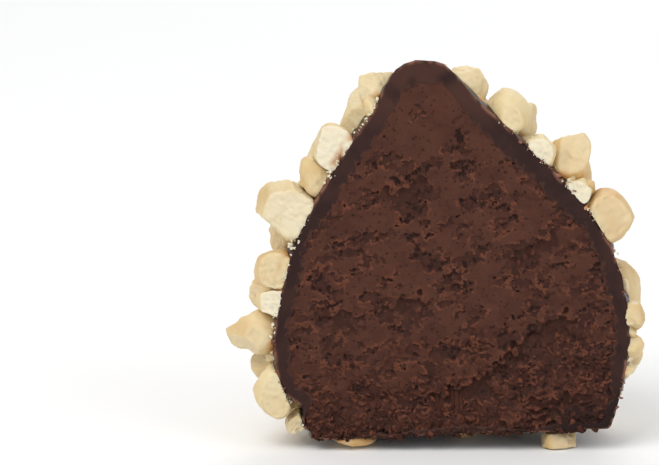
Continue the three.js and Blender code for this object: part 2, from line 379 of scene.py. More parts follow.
def nutMaterial():
    # creamy and a little translucent: whitest where broken or cut, golden where roasted and, on the nuts it
    # stands on, as painted shade
    material, tree, shader = newMaterial("nutMeat")
    cream = mix(tree, ramp(tree, noise(tree, 3), 0.3, 0.7), paint(221, 203, 160), paint(209, 185, 136))
    golden = mix(tree, ramp(tree, noise(tree, 2.2), 0.3, 0.7), paint(211, 175, 119), paint(195, 152, 95))
    colour = stained(tree, cream, ("roast", golden), ("broken", paint(226, 216, 190)),
                     ("stain", paint(176, 118, 58)))
    speck = ramp(tree, noise(tree, 0.6, 4, 0.7), 0.6, 0.75, 0.0, 0.25)
    colour = mix(tree, speck, colour, paint(190, 152, 102))
    shader.inputs["Subsurface Weight"].default_value = 0.3
    shader.inputs["Subsurface Radius"].default_value = (1.0, 0.7, 0.4)
    shader.inputs["Subsurface Scale"].default_value = 1.0 * mm
    dress(tree, shader, colour, 1.2, (0.42, 0.6), 0.4, noise(tree, 0.5, 4, 0.55), 0.022)
    return material


coatFinish = coatMaterial()
cutFinish = cutShellMaterial()
ganacheFinish = ganacheMaterial()
nutFinish = nutMaterial()
print("materials made")

nutLook = dict(
    across=24,  # quads across each side of the cube that a large nut's sphere is made from
    wideFace=0.085,  # a CAD face with more than this share of the area was chopped
    pebble=9.0,  # low is rounder
    crispness=(20, 55),  # of the chopped faces' edges, softest and sharpest nut
    # how many further chops there are and how far out as shares of the way, at the cut and elsewhere
    chopsOnCut=(1, 4), chopAtOnCut=(0.74, 0.94), chops=(3, 7), chopAt=(0.6, 0.9),
    swellOnCut=1.04, swell=1.13, squeeze=(0.05, 0.36),
    seat=0.28,  # how far each is pressed into the coat
    dishes=(1, 3), dishDepth=(0.05, 0.2), dishWidth=(0.3, 0.6),
    bite=(0.1, 0.3), biteWidth=(0.2, 0.38),
    stainedShare=0.35, stainReach=1.3,  # chocolate soaked in, up to here off the coat
    # relief: lumps as a share of the reach; on the skin, on broken faces and on the cut
    lump=0.02, skinRelief=0.014, breakRelief=0.04, knifeRelief=0.05,
    whiteCut={"nut_04": 0.8, "nut_06": 0.9, "nut_13": 1.0, "nut_18": 0.9, "nut_15": 0.45},
    # how roasted the nuts along the cut are, where 0 is blanched; the others differ by chance
    roast={"nut_01": 0.15, "nut_02": 0.05, "nut_03": 0.12, "nut_04": 0.0, "nut_05": 0.5, "nut_06": 0.0,
           "nut_07": 0.55, "nut_08": 0.05, "nut_12": 0.1, "nut_13": 0.0, "nut_14": 0.25, "nut_15": 0.08,
           "nut_18": 0.1},
    usualRoast=([0.0, 0.1, 0.2, 0.35, 0.6], [0.3, 0.3, 0.2, 0.13, 0.07]),  # and how often each comes
    # roast colour of the nuts it stands on: painted shade under the truffle
    footRoast=0.7,
    buried=1.06,  # size of the rounded front of a nut that lay whole behind the knife
)


def facePlanes(node):  # a convex solid's faces: normals, offsets, areas, and its centre of volume
    corners = nodeCorners(node)
    tilt = np.cross(corners[:, 1] - corners[:, 0], corners[:, 2] - corners[:, 0])
    area = np.linalg.norm(tilt, axis=1) / 2
    real = area > 1e-4
    corners, tilt, area = corners[real], tilt[real], area[real]
    normal = unit(tilt)
    offset = (normal * corners[:, 0]).sum(1)
    same = (normal @ normal.T > 0.9995) & (np.abs(offset[:, None] - offset) < 0.02)
    first, member = np.unique(same.argmax(1), return_inverse=True)
    wedge = (corners[:, 0] * np.cross(corners[:, 1], corners[:, 2])).sum(1)
    centre = (wedge[:, None] * corners.sum(1)).sum(0) / (4 * wedge.sum())
    return normal[first], offset[first], np.bincount(member.ravel(), area), centre


nutNodes = sorted(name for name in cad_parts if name.startswith("nut_"))
nutPlanes = {name: facePlanes(name) for name in nutNodes}


def nutDistance(spots):  # to the nearest large nut, about zero at its faces and below zero inside it
    nearest = np.full(spots.shape[:-1], 99.0)
    for normal, offset, _, centre in nutPlanes.values():
        near = np.linalg.norm(spots - centre, axis=-1) < 8
        there = spots[near]
        nearest[near] = np.minimum(nearest[near], (there @ normal.T - offset).max(-1))
    return nearest


def nutFromCoat(spots):  # roughly how far a spot on the cut's side is outside the dome
    away = spots - heart
    turn = np.arctan2(away[:, 2], away[:, 0])
    lift = np.arcsin(np.clip(unit(away)[:, 1], 0, 1))
    return np.linalg.norm(away, axis=1) - domeReach(headings(turn, lift))


def furtherChops(directions, normal, offset, towardsHeart, onCut, draw):
    # random planes on the outer side, each some share of the way to the farthest a face lets it go;
    # how fast a direction nears one = its cosine with the plane's normal / the plane's distance
    look = nutLook
    chops = []
    for _ in range(draw.integers(*look["chopsOnCut" if onCut else "chops"])):
        towards = unit(draw.normal(size=3))
        if towards @ towardsHeart > 0.2:
            towards = -towards
        out = draw.uniform(*look["chopAtOnCut" if onCut else "chopAt"]) / (normal @ towards / offset).max()
        chops.append(np.maximum(directions @ towards, 0) / out)
    return chops


def choppedReach(directions, normal, offset, wide, towardsHeart, onCut, rounding, draw):
    # reach along a direction = 1 / a power mean of how fast the direction nears each face: the many
    # small faces blend into a pebble, while wide ones and further chops stay flat. The share of the
    # mean that the flat ones have says where the surface is broken
    look = nutLook
    nearing = np.maximum(directions @ normal.T / offset, 0)
    chops = furtherChops(directions, normal, offset, towardsHeart, onCut, draw)
    small = nearing[:, ~wide]
    if rounding is not None:
        small = np.concatenate([small, np.linalg.norm(directions / rounding, axis=1)[:, None]], 1)
    pebble = (small ** look["pebble"]).sum(1) ** (1 / look["pebble"])
    pebble *= small.max(1).mean() / max(pebble.mean(), 1e-6)
    crisp = draw.uniform(*look["crispness"])
    flat = (nearing[:, wide] ** crisp).sum(1) + sum(chop ** crisp for chop in chops)
    total = pebble ** crisp + flat
    return look["swellOnCut" if onCut else "swell"] * total ** (-1 / crisp), flat / total


def hollowed(reach, directions, towards, width, depth, power):
    # less the depth's share of the reach, fading by the exponent of the angle over the width, to a power
    turned = np.arccos(np.clip(directions @ towards, -1, 1)) / width
    return reach * (1 - depth * np.exp(-turned ** power))


def nutLooks(spots, broken, onKnife, roast, white, seed, draw):
    # golden in patches but less so where broken or cut, white where cut, brown where chocolate soaked in
    look = nutLook
    patches = smooth(0.2, 1.6, waves(spots, 4.0, seed + 4)) * 0.5
    roasted = np.clip(roast + patches * (0.3 + roast), 0, 1) * (1 - 0.5 * broken) * (1 - 0.5 * onKnife)
    soaked = smooth(look["stainReach"], 0.3, nutFromCoat(spots))
    stain = soaked * smooth(-0.6, 0.8, waves(spots, 2.2, seed + 6)) * 0.85
    stain *= draw.uniform() < look["stainedShare"]
    return dict(roast=roasted, broken=np.clip(0.25 * broken ** 2 + white * onKnife, 0, 1), stain=stain)


def choppedShape(directions, normal, offset, wide, centre, roast, white, onCut, seed, rounding=None):
    # the chopped reach with lumps, dishes and a bite, squeezed along the coat, seated into it, given
    # relief, and kept behind the knife's plane and above the floor
    look = nutLook
    draw = np.random.default_rng(seed)
    towardsHeart = unit(heart - centre)
    reach, broken = choppedReach(directions, normal, offset, wide, towardsHeart, onCut, rounding, draw)
    reach *= 1 + look["lump"] * waves(directions, 1.7, seed + 1)
    for _ in range(draw.integers(*look["dishes"])):
        towards = unit(draw.normal(size=3))
        width = draw.uniform(*look["dishWidth"])
        reach = hollowed(reach, directions, towards, width, draw.uniform(*look["dishDepth"]), 2)
    sideways = unit(np.cross(towardsHeart, draw.normal(size=3)))
    width = draw.uniform(*look["biteWidth"])
    reach = hollowed(reach, directions, sideways, width, draw.uniform(*look["bite"]) * (not onCut), 4)
    along = unit(np.cross(towardsHeart, draw.normal(size=3)))
    away = directions * reach[:, None]
    if not onCut:
        away -= draw.uniform(*look["squeeze"]) * (away @ along)[:, None] * along
    spots = centre + towardsHeart * look["seat"] + away
    coarse = waves(spots, 1.1, seed + 2) + 0.7 * waves(spots, 0.5, seed + 3)
    onKnife = smooth(0.25, 0.0, spots[:, 1] - cutY)
    spots += directions * (coarse * blend(look["skinRelief"], look["breakRelief"], broken))[:, None]
    spots[:, 1] = np.maximum(spots[:, 1], cutY + look["knifeRelief"] * (waves(spots, 0.7, seed + 5) - 0.2))
    spots[:, 2] = np.maximum(spots[:, 2], 0.0)
    return spots, nutLooks(spots, broken, onKnife, roast, white, seed, draw)


nutDirections, nutQuads = cubeSphere(nutLook["across"])
for number, name in enumerate(nutNodes):
    normal, offset, area, centre = nutPlanes[name]
    low, high = (np.array(corner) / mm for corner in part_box(name))
    seed = 100 + number * 7
    roasts, odds = nutLook["usualRoast"]
    usual = np.random.default_rng(seed + 50).choice(roasts, p=odds)
    if high[2] < baseZ:  # the nuts that it stands on: a darker roast colour as painted shade under the truffle
        usual = nutLook["footRoast"]
    wide = area > nutLook["wideFace"] * area.sum()
    atCut = low[1] < cutY + 0.01
    rounding = None
    if atCut and name not in nutLook["whiteCut"]:  # it lay whole behind the knife: its front is rounded
        kept = normal[:, 1] > -0.999
        normal, offset, wide = normal[kept], offset[kept], wide[kept]
        rounding = nutLook["buried"] * np.maximum(high - centre, centre - low)
    spots, looks = choppedShape(nutDirections, normal, offset - normal @ centre, wide, centre,
                                nutLook["roast"].get(name, usual), nutLook["whiteCut"].get(name, 0.2),
                                atCut, seed, rounding)
    makePiece("choppedNut" + name[-2:], spots, [nutQuads], looks, [nutFinish], [name])
print("chopped nuts made:", len(nutNodes), "with", len(nutQuads) * 2, "triangles each")


smallLook = dict(
    across=12, tries=5000, nearCut=0.3,  # share of the tries that are close behind the cut
    nearCutLift=(0.06, 0.3), radius=(0.75, 1.9), spread=0.86, sink=0.3,
    overlap=0.35, overlapNearCut=0.8, farthest=2.6,  # from the large nuts
    bareRight=((0, 7.2), (14.4, 22.8)), bareLeft=(31.6, 33.6), bareTop=34.0, bareBase=4.0,
    coatShows=0.95,
    planes=15, wideOnes=(2, 6), white=0.3,
    roast=([0.0, 0.1, 0.25, 0.5], [0.4, 0.3, 0.2, 0.1]),  # and how often each comes
)


def leftApart(order, spots, sizes, spread):
    # of the spots in that order, those that are farther from every earlier one than the spread's
    # share of both sizes together
    chosen = []
    for i in order:
        if all(np.linalg.norm(spots[i] - spots[j]) > (sizes[i] + sizes[j]) * spread for j in chosen):
            chosen.append(i)
    return chosen


def bareCoat(spots, lift):  # where the coat shows near the cut, and at the top and the base
    look = smallLook
    across, z = spots[:, 0] - partX, spots[:, 2]
    bare = (z >= look["bareTop"]) | (z <= look["bareBase"])
    for low, high in look["bareRight"]:
        bare |= (across > 8) & (lift < 0.5) & (z > low) & (z < high)
    low, high = look["bareLeft"]
    return bare | (across < 0) & (lift < 0.3) & (z > low) & (z < high)


def inGaps():
    # spots on the coat between the large nuts, each as wide as there is room for, widest first
    look = smallLook
    tries = look["tries"]
    draw = np.random.default_rng(61)
    turn = draw.uniform(0, fullTurn, tries)
    lift = np.arcsin(draw.uniform(0.0, 1, tries))
    closeBehind = draw.uniform(size=tries) < look["nearCut"]
    lift = np.where(closeBehind, draw.uniform(*look["nearCutLift"], tries), lift)
    heading = headings(turn, lift)
    spots = onDome(heading)
    room = nutDistance(spots + heading * 0.4)
    widest = look["radius"][1] * draw.uniform(0.6, 1, tries)
    radius = np.clip(room + np.where(closeBehind, look["overlapNearCut"], look["overlap"]), 0, widest)
    fits = (radius > look["radius"][0]) & (room < look["farthest"]) & (spots[:, 1] > cutY + radius + 0.1)
    fits &= ~bareCoat(spots, lift)
    fits &= (waves(spots, 7, 64) > look["coatShows"] - 1) | closeBehind
    order = np.argsort(-(radius + 0.6 * closeBehind))
    chosen = leftApart(order[fits[order]], spots, radius, look["spread"])
    return spots[chosen], radius[chosen], heading[chosen]


def smallNuts():
    # each is a chopped shape like the large ones, from planes that touch a lopsided ellipsoid: a plane's
    # distance is the length of its normal in the ellipsoid's axes
    look = smallLook
    directions, quads = cubeSphere(look["across"])
    spots, radius, heading = inGaps()
    planes = look["planes"]
    roasts, odds = look["roast"]
    everySpot, everyFace, everyLook = [], [], []
    for number in range(len(spots)):
        seed = 4000 + 9 * number
        draw = np.random.default_rng(seed)
        normal = unit(draw.normal(size=(planes, 3)))
        axes = radius[number] * draw.uniform([0.95, 0.8, 0.7], [1.35, 1.05, 0.9])
        turnedAxes = np.linalg.qr(draw.normal(size=(3, 3)))[0]
        offset = np.linalg.norm(normal @ turnedAxes * axes, axis=1) * draw.uniform(0.82, 1.05, planes)
        opposite = offset * draw.uniform(0.85, 1.1, planes)
        sunk = 1 - look["sink"] * draw.uniform(0.6, 1.4)
        centre = spots[number] + heading[number] * radius[number] * sunk * 0.6
        wide = np.arange(2 * planes) < draw.integers(*look["wideOnes"])
        roast = draw.choice(roasts, p=odds)
        normals = np.concatenate([normal, -normal])
        offsets = np.concatenate([offset, opposite])
        there, looks = choppedShape(directions, normals, offsets, wide, centre, roast, look["white"],
                                    False, seed)
        everySpot.append(there)
        everyFace.append(quads + number * len(directions))
        everyLook.append(looks)
    together = {key: np.concatenate([looks[key] for looks in everyLook]) for key in everyLook[0]}
    makePiece("smallNuts", np.concatenate(everySpot), [np.concatenate(everyFace)], together, [nutFinish])
    return spots, radius


smallSpots, smallRadius = smallNuts()
print("small nuts made:", len(smallSpots))

shellLook = dict(
    around=760, bandRows=14, outerRows=106, innerRows=6,
    gap=0.3,  # between the CAD shell and its filling
    wobble=0.12, ripple=0.05,
    meniscus=0.5, meniscusEnds=(0.3, 1.3), meniscusOnCut=0.35,  # chocolate drawn up round each nut
    edgeRound=0.16, edgeOver=0.28,
    innerDip=0.05, innerOver=0.12,
    dryLine=0.3, dryLeft=((24.5, 33.5), (5.0, 10.0)),  # where the edge is dry and pale
    bandWander=0.15, bandFray=0.12,
    # along the base the knife crumbled the shell away, up to these heights at the left corner and
    # elsewhere, and as far as this to the right
    thinLeft=2.8, thinElsewhere=1.6, thinTo=12.0, thinShare=0.12, thinnest=0.12,
    cornerShare=0.7, cornerBelow=(6.5, 2.5),  # and it is thinner at the right corner
    smearOver=0.3, smearTop=(31.5, 35.0),  # filling smeared this far over it, and all over at the top
    darkBelow=(4.2, 1.4), darkRightOf=(7.2, 12.5),  # its thick corner
)


def shellWall(turn):  # of the CAD shell on the cut: how much farther out it ends than the filling
    return roundInterp(turn, outerTurns, outerReach) - roundInterp(turn, fillingTurns, fillingReach)


def bandWidth(turn, x, z):
    # width of the shell on the cut: the CAD wall, wandering, thin along the base
    look = shellLook
    ring = np.stack([np.cos(turn), np.sin(turn)], -1) * 15
    wander = look["bandWander"] * waves(ring, 5, 11) + look["bandFray"] * waves(ring, 0.9, 12)
    along = x - partX
    crumbled = blend(look["thinLeft"], look["thinElsewhere"], smooth(-12, -8, along))
    onBase = smooth(crumbled + 0.6, crumbled - 0.6, z - baseAt(x))
    thin = onBase * smooth(look["thinTo"] + 4, look["thinTo"] - 4, along)
    corner = smooth(*look["cornerBelow"], z - baseAt(x))
    corner = corner * smooth(look["thinTo"] - 1, look["thinTo"] + 3, along)
    share = blend(blend(1.0, look["thinShare"], thin), look["cornerShare"], corner)
    width = (shellWall(turn) - look["gap"]) * share + wander * blend(1.0, 0.5, thin)
    return np.maximum(width, look["thinnest"])


def evenTurns(count):  # turns that are evenly spaced along the cut's outline, by its summed length
    fine = np.linspace(0, fullTurn, 4000)
    reach = roundInterp(fine, outerTurns, outerReach)
    x, z = reach * np.cos(fine), reach * np.sin(fine)
    length = np.concatenate([[0], np.cumsum(np.hypot(np.diff(x), np.diff(z)))])
    return np.interp(np.arange(count) / count * length[-1], length, fine)


def coatRelief(spots):
    # height of the coat off the plain dome: two sizes of waves, and a rise towards each nut
    look = shellLook
    height = look["wobble"] * waves(spots, 6, 21) + look["ripple"] * waves(spots, 1.8, 22)
    low, high = look["meniscusEnds"]
    drawn = smooth(high, low, nutDistance(spots))
    behind = smooth(0, 1.5, spots[..., 1] - cutY)
    rise = look["meniscus"] * drawn * blend(look["meniscusOnCut"], 1, behind)
    return height * blend(0.4, 1, behind) + rise


def dryPatches(spots):  # where the edge dried pale: in patches, and along the stretches of dryLeft
    patches = waves(spots, 4.5, 24) + 0.5 * waves(spots, 0.8, 25)
    for low, high in shellLook["dryLeft"]:
        there = smooth(low - 1, low + 1, spots[:, 2]) * smooth(high + 1, high - 1, spots[:, 2])
        patches += 1.2 * there * (spots[:, 0] < partX)
    return smooth(-0.1, 1.1, patches)


def bandRing(edge, outward, width, share, dry):
    # a ring on the cut, some share of the way from the inner edge to the outer: rounded off outside and
    # dipped inside, with fine relief; dry at the outer edge, smeared over raggedly at the inner one
    # and at the top, dark in the thick corner
    look = shellLook
    fromOuter = width * (1 - share)
    fromInner = width - fromOuter
    spots = heart + edge * (outward - fromOuter)[:, None]
    dip = look["edgeRound"] * smooth(look["edgeOver"], 0.0, fromOuter)
    dip += look["innerDip"] * smooth(look["innerOver"], 0, fromInner)
    spots[:, 1] += dip + 0.012 * waves(spots, 1.3, 23) + 0.014 * waves(spots, 0.45, 26)
    rim = 0.85 * dry * smooth(look["dryLine"], 0.0, fromOuter)
    ragged = look["smearOver"] + 0.14 * waves(spots, 0.9, 27) + 0.1 * waves(spots, 0.4, 28)
    atTop = smooth(*look["smearTop"], spots[:, 2]) * smooth(-1.6, 0.6, waves(spots, 2.5, 29))
    smear = np.maximum(smooth(ragged, ragged - 0.22, fromInner), atTop)
    above = spots[:, 2] - baseAt(spots[:, 0]) + 0.4 * waves(spots, 1.4, 30)
    along = spots[:, 0] - partX + 0.6 * waves(spots, 1.8, 19)
    thick = 0.95 * smooth(*look["darkBelow"], above) * smooth(*look["darkRightOf"], along)
    return spots, np.stack([rim, smear, thick], -1)


def shellShape():
    # rows of rings: up the inner wall, across the cut, then over the outside to the back
    look = shellLook
    turn = evenTurns(look["around"])
    count = len(turn)
    edge, reach, plainEdge = cutEdge(turn)
    width = bandWidth(turn, plainEdge[:, 0], plainEdge[:, 2])
    wall = np.maximum(shellWall(turn) - look["gap"], 1.0)
    dry = dryPatches(plainEdge)
    outward = reach + coatRelief(plainEdge)
    rings, colourLayers = [], []
    for lift in np.linspace(math.radians(86), math.radians(3), look["innerRows"]):
        heading = headings(turn, lift)
        inward = blend(width, wall, smooth(0, 0.3, lift))
        rings.append(heart + heading * (domeReach(heading) - inward)[:, None])
        colourLayers.append(np.zeros((count, 3)))
    for share in np.linspace(0, 1, look["bandRows"]):
        ring, stain = bandRing(edge, outward, width, share, dry)
        rings.append(ring)
        colourLayers.append(stain)
    for lift in np.linspace(0, math.radians(89), look["outerRows"] + 1)[1:]:
        heading = headings(turn, lift)
        plain = onDome(heading)
        rings.append(plain + heading * coatRelief(plain)[:, None])
        colourLayers.append(np.outer(0.85 * dry * smooth(0.025, 0.0, lift), [1, 0, 0]))
    poles = [rings[0].mean(0), rings[-1].mean(0)]
    spots = np.concatenate(rings + [poles])
    quads = gridFaces(len(rings), count, closed=True)
    here = np.arange(count)
    following = (here + 1) % count
    last = (len(rings) - 1) * count
    fans = np.concatenate([
        np.stack([np.full(count, len(spots) - 2), here, following], -1),
        np.stack([last + following, last + here, np.full(count, len(spots) - 1)], -1)])
    onCut = np.arange(len(quads)) // count < look["innerRows"] + look["bandRows"]
    finishes = np.concatenate([onCut, np.arange(2 * count) < count])
    colourLayers = np.concatenate(colourLayers + [np.zeros((2, 3))])
    return spots, [quads, fans], dict(zip(("rim", "smear", "thick"), colourLayers.T)), finishes


shellSpots, shellFaces, shellLooks, shellFinishes = shellShape()
makePiece("chocolateShell", shellSpots, shellFaces, shellLooks, [coatFinish, cutFinish],
          ["chocolate_shell"], shellFinishes)
print("shell made:", len(shellSpots), "vertices")


ganacheLook = dict(
    columns=262, rows=344, backRows=7,
    rasterPitch=0.05, drawnOut=2.8,
    lean=math.radians(19),  # the knife dragged the filling along this line
    plateau=0.035,  # how far the smeared surface lies behind the shell's cut
    tuck=0.4,  # and how far it goes under the shell's band
    torn=7600, tornSize=(0.06, 0.31), tornFrom=0.86,  # stamps that run together where it was torn
    pits=3600, pitSize=(0.05, 0.17), deepShare=0.2,
    lowerBy=0.1, deeperBy=0.12, crumbDepth=0.24, lipHeight=0.04, streakDepth=0.1,
    foldLip=(0.14, 0.22, 0.26),  # how high it stands, how far above the fold's line, and how wide
    darkCorner=(13.4, 3.3, 2.6, 1.3),  # almost black: place across and height, half width and height
    crumblyFrom=(7.0, 12.5),  # the lower part is crumbly, up to here at the left and right end
    crumblyFade=3.2, calmAbove=(28.5, 32.5), streaksBelow=(8.5, 3.5), streaksRightOf=(2, 7),
    # larger torn hollows: place across and height, half length, half height, lean in degrees, and
    # how much of each is deep
    tears=[
        (0.9, 31.0, 0.35, 1.2, 8, 0.9), (1.2, 30.0, 0.7, 0.35, -20, 0.4), (1.7, 24.9, 0.75, 0.36, -5, 0.7),
        (4.4, 25.8, 0.8, 0.3, 45, 0.3), (6.6, 25.6, 0.8, 0.25, 5, 0.2), (-3.3, 23.8, 0.9, 0.4, 30, 0.3),
        (-2.3, 22.9, 0.6, 0.3, 30, 0.3), (-6.4, 21.6, 1.3, 0.3, 24, 0.2), (-4.4, 21.6, 0.5, 0.3, 10, 0.4),
        (-4.2, 28.4, 0.9, 0.45, 30, 0.2), (-2.8, 19.6, 0.9, 0.5, -30, 0.1), (-2.0, 18.6, 0.5, 0.6, 0, 0.1),
        (1.6, 19.2, 1.5, 0.45, 6, 0.4), (3.0, 20.2, 1.1, 0.35, 24, 0.5), (7.2, 20.6, 1.2, 0.5, 24, 0.2),
        (1.7, 16.7, 0.55, 0.32, 0, 0.6), (7.4, 16.9, 0.65, 0.45, 0, 0.1), (5.0, 17.2, 0.7, 0.25, 20, 0.5),
        (-0.4, 14.9, 0.9, 0.3, 5, 0.5), (-7.7, 15.6, 1.0, 0.5, 12, 0.2), (-12.6, 16.6, 1.2, 0.5, -20, 0.2),
        (-9.6, 19.9, 1.3, 0.35, 10, 0.1), (2.6, 12.0, 1.0, 0.3, -25, 0.3), (7.9, 18.6, 0.7, 0.3, 30, 0.3),
        (5.6, 11.2, 1.1, 0.8, 30, 0.2), (8.4, 12.2, 1.2, 0.6, 25, 0.2), (-0.6, 9.9, 1.6, 0.6, 5, 0.2),
        (5.7, 8.0, 0.8, 0.4, 0, 0.6), (-9.4, 8.6, 0.7, 0.25, 0, 0.3), (-11.8, 11.2, 0.8, 0.3, 10, 0.2),
        (-3.0, 5.0, 1.0, 0.4, 15, 0.4), (3.4, 6.2, 0.9, 0.35, 10, 0.5), (10.3, 9.0, 1.3, 0.4, 30, 0.3),
    ],
    # folds where the knife dragged the filling up: two ends across and height, sag, step down
    folds=[
        (-2.4, 5.6, 4.2, 8.2, 0.5, 0.42), (3.6, 7.6, 12.6, 14.2, -0.7, 0.36),
        (-6.8, 25.9, -2.0, 27.9, 0.3, 0.16), (-5.6, 24.9, -1.4, 26.6, -0.2, 0.14),
        (5.4, 19.6, 10.4, 22.4, 0.4, 0.16), (-7.4, 13.9, -1.6, 15.6, -0.4, 0.14),
        (7.2, 4.4, 14.6, 6.2, -0.2, 0.22), (4.6, 2.6, 11.0, 3.4, 0.2, 0.2),
        (-13.2, 14.2, -7.6, 14.0, 0.3, 0.1),
    ],
)


def rotated(x, z, lean):  # along and across a line that leans so much
    return x * math.cos(lean) + z * math.sin(lean), z * math.cos(lean) - x * math.sin(lean)


def shaken(flat, by, length, seed):  # shifts across and in height, each by its own waves
    return by * np.stack([waves(flat, length, seed), waves(flat, length, seed + 1)], -1)


def readRaster(xs, zs, raster, x, z):  # the four values round a spot, each by its nearness
    column = np.clip((x - xs[0]) / (xs[1] - xs[0]), 0, len(xs) - 1.001)
    row = np.clip((z - zs[0]) / (zs[1] - zs[0]), 0, len(zs) - 1.001)
    i, j = row.astype(int), column.astype(int)
    v, u = row - i, column - j
    return ((raster[i, j] * (1 - u) + raster[i, j + 1] * u) * (1 - v)
            + (raster[i + 1, j] * (1 - u) + raster[i + 1, j + 1] * u) * v)


def scattered(count, sizes, power, lean, draw):  # ellipses: place, size, stretch, lean and rank
    size = sizes[0] + (sizes[1] - sizes[0]) * draw.uniform(0, 1, count) ** power
    return np.stack([draw.uniform(-16.5, 16.5, count), draw.uniform(1, 38, count), size,
                     draw.uniform(1.3, 3.2, count), lean + 0.28 * draw.normal(size=count),
                     draw.uniform(0, 1, count)], -1)


def tearStamps(draw, count=7):  # each larger hollow is one ellipse with smaller ones at its rim
    stamps = []
    for x, z, half, tall, lean, deepShare in ganacheLook["tears"]:
        lean = math.radians(lean)
        around = draw.uniform(0, fullTurn, count)
        u, v = rotated(0.8 * half * np.cos(around), 0.8 * tall * np.sin(around), -lean)
        size = min(tall, half) * draw.uniform(0.3, 0.75, count)
        stretch = draw.uniform(1.0, 1.8, count)
        leans = lean + 0.3 * draw.normal(size=count)
        rank = draw.uniform(0, 1, count) - 0.5 * deepShare
        stamps.append(np.stack([x + u, z + v, size, stretch, leans, rank], -1))
        stamps.append(np.array([[x, z, tall, half / tall, lean, 0.9 - deepShare]]))
    return np.concatenate(stamps)


def stamp(ellipses, xs, zs, bent, fray, near, deep):
    # near becomes how far inside the nearest ellipse each spot is, and deep the same for the darker
    # middles of those with a low rank, which lie towards their upper edges: painted shadow of the overhang
    pitch = ganacheLook["rasterPitch"]
    for x, z, size, stretch, lean, rank in ellipses:
        span = int((size * max(stretch, 1) + 0.6) / pitch) + 1
        column, row = int((x - xs[0]) / pitch), int((z - zs[0]) / pitch)
        window = np.s_[max(row - span, 0):row + span, max(column - span, 0):column + span]
        u, v = rotated(bent[window][..., 0] - x, bent[window][..., 1] - z, lean)
        near[window] = np.maximum(near[window], size - np.hypot(u / stretch, v) - fray[window])
        if rank < ganacheLook["deepShare"]:
            # painted shadow under the overhanging upper edge: a smaller ellipse moved up
            inner = 0.65 * size - np.hypot(u / stretch, v - 0.25 * size) - 1.4 * fray[window]
            deep[window] = np.maximum(deep[window], inner)


def crumblyPart(x, z, flat, drawn):
    # the lower part, up to a wandering slope, is crumbly; towards the right it is streaked instead
    look = ganacheLook
    edge = blend(*look["crumblyFrom"], np.clip((x + 13) / 27, 0, 1))
    fade = look["crumblyFade"]
    crumbly = smooth(fade, -fade, z - edge + 1.5 * waves(flat, 4.2, 46) + 0.5 * waves(flat, 1.5, 49))
    crumbly *= 0.6 + 0.4 * smooth(-0.8, 0.6, waves(drawn, 2.6, 50))
    streaky = smooth(*look["streaksBelow"], z) * smooth(*look["streaksRightOf"], x)
    return crumbly * (1 - 0.5 * streaky), streaky


def tornShare(x, z, flat, drawn, crumbly):
    # how likely a spot is torn: waves drawn out along the lean, more near the shell, at the right and
    # where it crumbles, and none in the calm top
    ringTurn = np.arctan2(z - heart[2], x)
    fromShell = roundInterp(ringTurn, fillingTurns, fillingReach) - np.hypot(z - heart[2], x)
    share = waves(drawn, 2.1, 33) + 0.7 * waves(drawn, 1.0, 38) + 0.2 * waves(flat, 8, 34)
    share += 0.35 * smooth(3.2, 0.4, fromShell) + 0.5 * smooth(2, 12, x) + 0.5 * crumbly
    return share - 1.5 * smooth(*ganacheLook["calmAbove"], z) - ganacheLook["tornFrom"]


def tornLevel(xs, zs, flat, share, crumbly):
    # stamps scattered where the share is high run together into scalloped patches, each lipped just
    # outside its edge; small pits come last and have no lips
    look = ganacheLook
    bent = flat + shaken(flat, 0.08, 1.1, 61)
    fray = 0.05 * waves(flat, 0.8, 35) + 0.045 * waves(flat, 0.4, 36) + 0.025 * waves(flat, 0.22, 37)
    near = np.full(share.shape, -1.0)
    deep = near.copy()
    draw = np.random.default_rng(5)
    patches = scattered(look["torn"], look["tornSize"], 1.7, look["lean"], draw)
    likely = smooth(0, 0.3, readRaster(xs, zs, share, patches[:, 0], patches[:, 1]))
    kept = draw.uniform(0, 1, len(patches)) < likely
    stamp(np.concatenate([patches[kept], tearStamps(draw)]), xs, zs, bent, fray, near, deep)
    lipped = smooth(0.1, 0.6, waves(flat, 2.2, 41) + 0.5 * waves(flat, 0.8, 42) + 0.3 * crumbly)
    lipped *= smooth(-0.19, -0.08, near)
    depth = -look["lipHeight"] * lipped * smooth(0.04, -0.06, near)
    pits = scattered(look["pits"], look["pitSize"], 2.2, look["lean"], draw)
    kept = draw.uniform(0, 1, len(pits)) < 0.4 + 0.15 * readRaster(xs, zs, share, pits[:, 0], pits[:, 1])
    stamp(pits[kept], xs, zs, bent, fray * 0.6, near, deep)
    return near, deep, lipped, depth


def addFolds(x, z, flat, warped, depth, near):
    # along each fold's sagging line the surface steps down and fades back, with a lip drawn up above
    # the step: a bell curve of the distance off the line. Depth and near are changed, near below the step
    # as painted shade; gives the lips, which are painted light red with a painted highlight
    height, above, width = ganacheLook["foldLip"]
    lips = np.zeros(x.shape)
    for x0, z0, x1, z1, sag, step in ganacheLook["folds"]:
        u, v = rotated(x - x0, z - z0, math.atan2(z1 - z0, x1 - x0))
        part = u / math.hypot(x1 - x0, z1 - z0)
        v = v + sag * 4 * part * (1 - part) + 0.35 * waves(flat, 1.4, 43) + 0.07 * waves(warped, 0.6, 44)
        here = smooth(-0.02, 0.16, part) * smooth(1.02, 0.84, part)
        below = smooth(0.06, -0.12, v) * smooth(-2.2, -0.6, v)
        depth += step * here * below
        lip = here * np.exp(-((v - above) / width) ** 2)
        depth -= height * lip * (depth < 0.12)
        lips = np.maximum(lips, lip * min(step / 0.2, 1))
        # painted shade below the step, where the surface faces down: the lower level's darker colour, which
        # also lowers it a little
        near[:] = np.maximum(near, 0.3 * here * below - 0.16 + 0.07 * waves(flat, 0.8, 57))
    return lips


